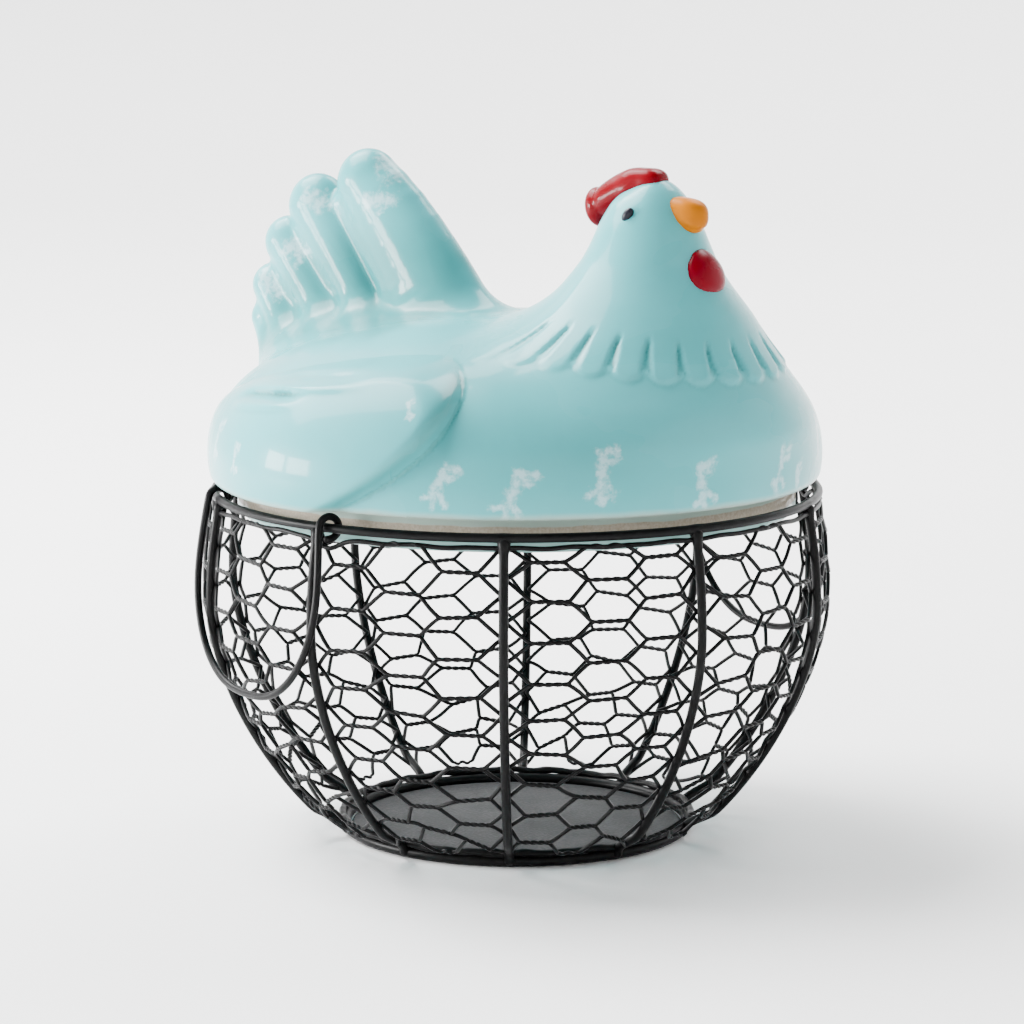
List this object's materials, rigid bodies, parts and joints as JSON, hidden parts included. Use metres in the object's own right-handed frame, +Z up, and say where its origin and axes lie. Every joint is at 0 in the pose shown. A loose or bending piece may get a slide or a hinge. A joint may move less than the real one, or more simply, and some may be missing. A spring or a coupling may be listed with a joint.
{
  "type": "egg basket",
  "caption": "Globe-shaped wire egg basket with netting walls, drop handles at the rim and a lift-off ceramic lid in the form of a hen.",
  "frame": {"origin": "centre of the base on the surface the basket stands on", "axes": "+Z up along the basket's axis; the two drop handles are on -X and +X; the hen on the lid looks 18 degrees from -Y towards +X"},
  "size_m": [0.223, 0.2255, 0.2372],
  "materials": {
    "black_coating": "satin black powder coat",
    "grey_coating": "matt dark grey coat",
    "aqua_glaze": "glossy aqua glaze with sponged white sprigs",
    "red_glaze": "glossy red glaze",
    "crimson_glaze": "glossy crimson glaze",
    "yellow_glaze": "glossy amber glaze",
    "eye_glaze": "glossy black glaze"
  },
  "bodies": {
    "basket": {"rim_ring": "black_coating", "base_ring": "black_coating", "base_plate": "grey_coating", "rib_01": "black_coating", "rib_02": "black_coating", "rib_03": "black_coating", "rib_04": "black_coating", "rib_05": "black_coating", "rib_06": "black_coating", "rib_07": "black_coating", "rib_08": "black_coating", "rib_09": "black_coating", "rib_10": "black_coating", "net_panel_01": "black_coating", "net_panel_02": "black_coating", "net_panel_03": "black_coating", "net_panel_04": "black_coating", "net_panel_05": "black_coating", "net_panel_06": "black_coating", "net_panel_07": "black_coating", "net_panel_08": "black_coating", "net_panel_09": "black_coating", "net_panel_10": "black_coating"},
    "lid": {"hen_lid": "aqua_glaze", "comb": "red_glaze", "beak": "yellow_glaze", "wattle": "crimson_glaze", "eye_left": "eye_glaze", "eye_right": "eye_glaze"},
    "left_handle": {"handle_left": "black_coating"},
    "right_handle": {"handle_right": "black_coating"}
  },
  "joints": [
    {"name": "handle_left_swing", "type": "hinge", "parent": "basket", "child": "left_handle", "pos_m": [-0.09929, 0, 0.1215], "axis": [0, 1, 0], "range_deg": [0, 83]},
    {"name": "handle_right_swing", "type": "hinge", "parent": "basket", "child": "right_handle", "pos_m": [0.09929, 0, 0.1215], "axis": [0, -1, 0], "range_deg": [0, 83]},
    {"name": "lid_lift", "type": "slide", "parent": "basket", "child": "lid", "axis": [0, 0, 1], "range_m": [0, 0.1]}
  ]
}
